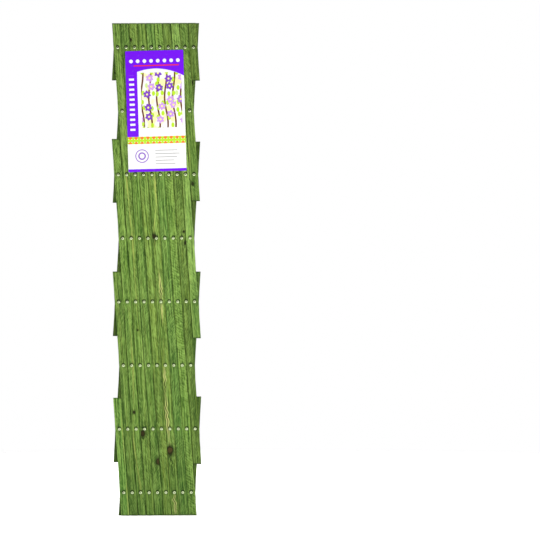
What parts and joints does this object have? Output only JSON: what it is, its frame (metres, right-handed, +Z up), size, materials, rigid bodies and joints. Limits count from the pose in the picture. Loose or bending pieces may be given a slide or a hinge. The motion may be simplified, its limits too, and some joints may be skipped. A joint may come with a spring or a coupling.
{
  "type": "expandable garden trellis",
  "caption": "Folding lattice of riveted, stained softwood slats that opens like scissors to carry climbing plants, with a printed card on its front.",
  "frame": {"origin": "middle of the rear head of the rivet that the trellis hangs from, the central one of the second row", "axes": "+Z up along the folded bundle, -Y out of the front, +X to the right as seen from the front"},
  "size_m": [0.2123, 0.0159, 1.1777],
  "materials": {
    "stained_wood": "sawn softwood with a green stain",
    "aluminium": "bright, as clenched",
    "card_stock": "printed, slightly glossy"
  },
  "bodies": {
    "hanging_rivet": {"hanging_rivet": "aluminium", "card": "card_stock"},
    "front_slat_08": {"front_slat_08": "stained_wood", "rivet_row1_column09": "aluminium", "rivet_row3_column11": "aluminium", "rivet_row4_column12": "aluminium", "rivet_row5_column13": "aluminium", "rivet_row6_column14": "aluminium", "rivet_row7_column15": "aluminium", "rivet_row8_column16": "aluminium"},
    "back_slat_06": {"back_slat_06": "stained_wood"},
    "front_slat_02": {"front_slat_02": "stained_wood", "rivet_row8_column04": "aluminium"},
    "front_slat_03": {"front_slat_03": "stained_wood", "rivet_row7_column05": "aluminium"},
    "front_slat_04": {"front_slat_04": "stained_wood", "rivet_row1_column01": "aluminium", "rivet_row6_column06": "aluminium"},
    "front_slat_05": {"front_slat_05": "stained_wood", "rivet_row1_column03": "aluminium", "rivet_row5_column07": "aluminium"},
    "front_slat_06": {"front_slat_06": "stained_wood", "rivet_row1_column05": "aluminium", "rivet_row4_column08": "aluminium"},
    "front_slat_07": {"front_slat_07": "stained_wood", "rivet_row1_column07": "aluminium", "rivet_row3_column09": "aluminium"},
    "front_slat_09": {"front_slat_09": "stained_wood", "rivet_row1_column11": "aluminium", "rivet_row8_column18": "aluminium"},
    "back_slat_05": {"back_slat_05": "stained_wood"},
    "back_slat_07": {"back_slat_07": "stained_wood"},
    "back_slat_08": {"back_slat_08": "stained_wood"},
    "back_slat_09": {"back_slat_09": "stained_wood"},
    "back_slat_10": {"back_slat_10": "stained_wood"},
    "back_slat_11": {"back_slat_11": "stained_wood"},
    "back_slat_12": {"back_slat_12": "stained_wood"},
    "front_slat_01": {"front_slat_01": "stained_wood", "rivet_row8_column02": "aluminium"},
    "front_slat_10": {"front_slat_10": "stained_wood", "rivet_row1_column13": "aluminium"},
    "front_slat_11": {"front_slat_11": "stained_wood", "rivet_row1_column15": "aluminium"},
    "front_slat_12": {"front_slat_12": "stained_wood", "rivet_row1_column17": "aluminium"},
    "front_slat_13": {"front_slat_13": "stained_wood", "rivet_row1_column19": "aluminium"},
    "back_slat_01": {"back_slat_01": "stained_wood"},
    "back_slat_02": {"back_slat_02": "stained_wood"},
    "back_slat_03": {"back_slat_03": "stained_wood"},
    "back_slat_04": {"back_slat_04": "stained_wood"},
    "back_slat_13": {"back_slat_13": "stained_wood"}
  },
  "joints": [
    {"name": "opening", "type": "hinge", "parent": "hanging_rivet", "child": "front_slat_08", "pos_m": [0, 0, 0], "axis": [0, -1, 0], "range_deg": [0, 41.2]},
    {"name": "hinge_back_slat_06", "type": "hinge", "parent": "hanging_rivet", "child": "back_slat_06", "pos_m": [0, 0, 0], "axis": [0, 1, 0], "range_deg": [0, 41.2]},
    {"name": "hinge_front_slat_02", "type": "hinge", "parent": "back_slat_06", "child": "front_slat_02", "pos_m": [-0.06043, 0, -0.9124], "axis": [0, -1, 0], "range_deg": [0, 82.4]},
    {"name": "hinge_front_slat_03", "type": "hinge", "parent": "back_slat_06", "child": "front_slat_03", "pos_m": [-0.05036, 0, -0.76033], "axis": [0, -1, 0], "range_deg": [0, 82.4]},
    {"name": "hinge_front_slat_04", "type": "hinge", "parent": "back_slat_06", "child": "front_slat_04", "pos_m": [-0.04029, 0, -0.60827], "axis": [0, -1, 0], "range_deg": [0, 82.4]},
    {"name": "hinge_front_slat_05", "type": "hinge", "parent": "back_slat_06", "child": "front_slat_05", "pos_m": [-0.03022, 0, -0.4562], "axis": [0, -1, 0], "range_deg": [0, 82.4]},
    {"name": "hinge_front_slat_06", "type": "hinge", "parent": "back_slat_06", "child": "front_slat_06", "pos_m": [-0.02014, 0, -0.30413], "axis": [0, -1, 0], "range_deg": [0, 82.4]},
    {"name": "hinge_front_slat_07", "type": "hinge", "parent": "back_slat_06", "child": "front_slat_07", "pos_m": [-0.01007, 0, -0.15207], "axis": [0, -1, 0], "range_deg": [0, 82.4]},
    {"name": "hinge_front_slat_09", "type": "hinge", "parent": "back_slat_06", "child": "front_slat_09", "pos_m": [0.01007, 0, 0.15207], "axis": [0, -1, 0], "range_deg": [0, 82.4]},
    {"name": "hinge_back_slat_05", "type": "hinge", "parent": "front_slat_08", "child": "back_slat_05", "pos_m": [-0.01007, 0, 0.15207], "axis": [0, 1, 0], "range_deg": [0, 82.4]},
    {"name": "hinge_back_slat_07", "type": "hinge", "parent": "front_slat_08", "child": "back_slat_07", "pos_m": [0.01007, 0, -0.15207], "axis": [0, 1, 0], "range_deg": [0, 82.4]},
    {"name": "hinge_back_slat_08", "type": "hinge", "parent": "front_slat_08", "child": "back_slat_08", "pos_m": [0.02014, 0, -0.30413], "axis": [0, 1, 0], "range_deg": [0, 82.4]},
    {"name": "hinge_back_slat_09", "type": "hinge", "parent": "front_slat_08", "child": "back_slat_09", "pos_m": [0.03022, 0, -0.4562], "axis": [0, 1, 0], "range_deg": [0, 82.4]},
    {"name": "hinge_back_slat_10", "type": "hinge", "parent": "front_slat_08", "child": "back_slat_10", "pos_m": [0.04029, 0, -0.60827], "axis": [0, 1, 0], "range_deg": [0, 82.4]},
    {"name": "hinge_back_slat_11", "type": "hinge", "parent": "front_slat_08", "child": "back_slat_11", "pos_m": [0.05036, 0, -0.76033], "axis": [0, 1, 0], "range_deg": [0, 82.4]},
    {"name": "hinge_back_slat_12", "type": "hinge", "parent": "front_slat_08", "child": "back_slat_12", "pos_m": [0.06043, 0, -0.9124], "axis": [0, 1, 0], "range_deg": [0, 82.4]},
    {"name": "hinge_front_slat_01", "type": "hinge", "parent": "back_slat_05", "child": "front_slat_01", "pos_m": [-0.08058, 0, -0.9124], "axis": [0, -1, 0], "range_deg": [0, 82.4]},
    {"name": "hinge_front_slat_10", "type": "hinge", "parent": "back_slat_07", "child": "front_slat_10", "pos_m": [0.03022, 0, 0.15207], "axis": [0, -1, 0], "range_deg": [0, 82.4]},
    {"name": "hinge_front_slat_11", "type": "hinge", "parent": "back_slat_08", "child": "front_slat_11", "pos_m": [0.05036, 0, 0.15207], "axis": [0, -1, 0], "range_deg": [0, 82.4]},
    {"name": "hinge_front_slat_12", "type": "hinge", "parent": "back_slat_09", "child": "front_slat_12", "pos_m": [0.0705, 0, 0.15207], "axis": [0, -1, 0], "range_deg": [0, 82.4]},
    {"name": "hinge_front_slat_13", "type": "hinge", "parent": "back_slat_10", "child": "front_slat_13", "pos_m": [0.09065, 0, 0.15207], "axis": [0, -1, 0], "range_deg": [0, 82.4]},
    {"name": "hinge_back_slat_01", "type": "hinge", "parent": "front_slat_04", "child": "back_slat_01", "pos_m": [-0.09065, 0, 0.15207], "axis": [0, 1, 0], "range_deg": [0, 82.4]},
    {"name": "hinge_back_slat_02", "type": "hinge", "parent": "front_slat_05", "child": "back_slat_02", "pos_m": [-0.0705, 0, 0.15207], "axis": [0, 1, 0], "range_deg": [0, 82.4]},
    {"name": "hinge_back_slat_03", "type": "hinge", "parent": "front_slat_06", "child": "back_slat_03", "pos_m": [-0.05036, 0, 0.15207], "axis": [0, 1, 0], "range_deg": [0, 82.4]},
    {"name": "hinge_back_slat_04", "type": "hinge", "parent": "front_slat_07", "child": "back_slat_04", "pos_m": [-0.03022, 0, 0.15207], "axis": [0, 1, 0], "range_deg": [0, 82.4]},
    {"name": "hinge_back_slat_13", "type": "hinge", "parent": "front_slat_09", "child": "back_slat_13", "pos_m": [0.08058, 0, -0.9124], "axis": [0, 1, 0], "range_deg": [0, 82.4]}
  ],
  "couplings": [
    {"joint": "hinge_back_slat_06", "follows": "opening", "ratio": 1},
    {"joint": "hinge_front_slat_02", "follows": "opening", "ratio": 2},
    {"joint": "hinge_front_slat_03", "follows": "opening", "ratio": 2},
    {"joint": "hinge_front_slat_04", "follows": "opening", "ratio": 2},
    {"joint": "hinge_front_slat_05", "follows": "opening", "ratio": 2},
    {"joint": "hinge_front_slat_06", "follows": "opening", "ratio": 2},
    {"joint": "hinge_front_slat_07", "follows": "opening", "ratio": 2},
    {"joint": "hinge_front_slat_09", "follows": "opening", "ratio": 2},
    {"joint": "hinge_back_slat_05", "follows": "opening", "ratio": 2},
    {"joint": "hinge_back_slat_07", "follows": "opening", "ratio": 2},
    {"joint": "hinge_back_slat_08", "follows": "opening", "ratio": 2},
    {"joint": "hinge_back_slat_09", "follows": "opening", "ratio": 2},
    {"joint": "hinge_back_slat_10", "follows": "opening", "ratio": 2},
    {"joint": "hinge_back_slat_11", "follows": "opening", "ratio": 2},
    {"joint": "hinge_back_slat_12", "follows": "opening", "ratio": 2},
    {"joint": "hinge_front_slat_01", "follows": "opening", "ratio": 2},
    {"joint": "hinge_front_slat_10", "follows": "opening", "ratio": 2},
    {"joint": "hinge_front_slat_11", "follows": "opening", "ratio": 2},
    {"joint": "hinge_front_slat_12", "follows": "opening", "ratio": 2},
    {"joint": "hinge_front_slat_13", "follows": "opening", "ratio": 2},
    {"joint": "hinge_back_slat_01", "follows": "opening", "ratio": 2},
    {"joint": "hinge_back_slat_02", "follows": "opening", "ratio": 2},
    {"joint": "hinge_back_slat_03", "follows": "opening", "ratio": 2},
    {"joint": "hinge_back_slat_04", "follows": "opening", "ratio": 2},
    {"joint": "hinge_back_slat_13", "follows": "opening", "ratio": 2}
  ]
}
